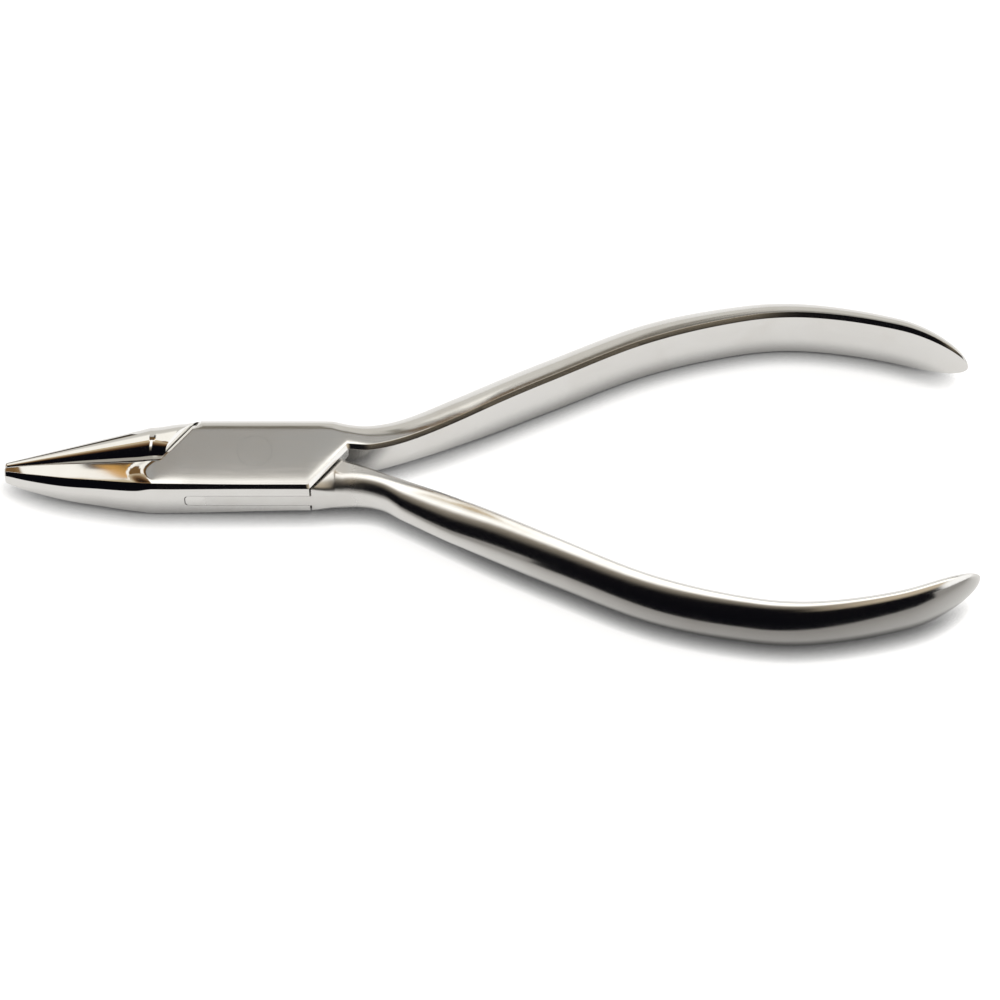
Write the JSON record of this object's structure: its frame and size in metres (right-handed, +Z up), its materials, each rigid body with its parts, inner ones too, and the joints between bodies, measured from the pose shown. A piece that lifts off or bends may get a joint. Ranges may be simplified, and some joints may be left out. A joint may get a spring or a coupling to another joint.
{
  "type": "orthodontic pliers",
  "caption": "Steel orthodontic pliers with a boxed lock, a round beak facing a pyramid beak, and bowed D-section handles, for bending fine archwire.",
  "frame": {"origin": "joint axis at the lower face of the lock, on the flush lower end of the rivet", "axes": "+X to the handles, beaks to -X; +Y to the handle of the box half; +Z up along the joint axis"},
  "size_m": [0.1342, 0.0525, 0.0102],
  "materials": {
    "satin_steel": "stainless steel, satin lock faces, polished pyramid beak, fine satin handle",
    "brushed_steel": "stainless steel, mirror-polished round beak, fine brushed handle",
    "rivet_steel": "stainless steel, ground flush"
  },
  "bodies": {
    "box_body": {"box_half": "satin_steel", "joint_rivet": "rivet_steel"},
    "tenon_body": {"tenon_half": "brushed_steel"}
  },
  "joints": [
    {"name": "lock_hinge", "type": "hinge", "parent": "box_body", "child": "tenon_body", "pos_m": [0, 0, 0.0038], "axis": [0, 0, -1], "range_deg": [0, 40]}
  ]
}
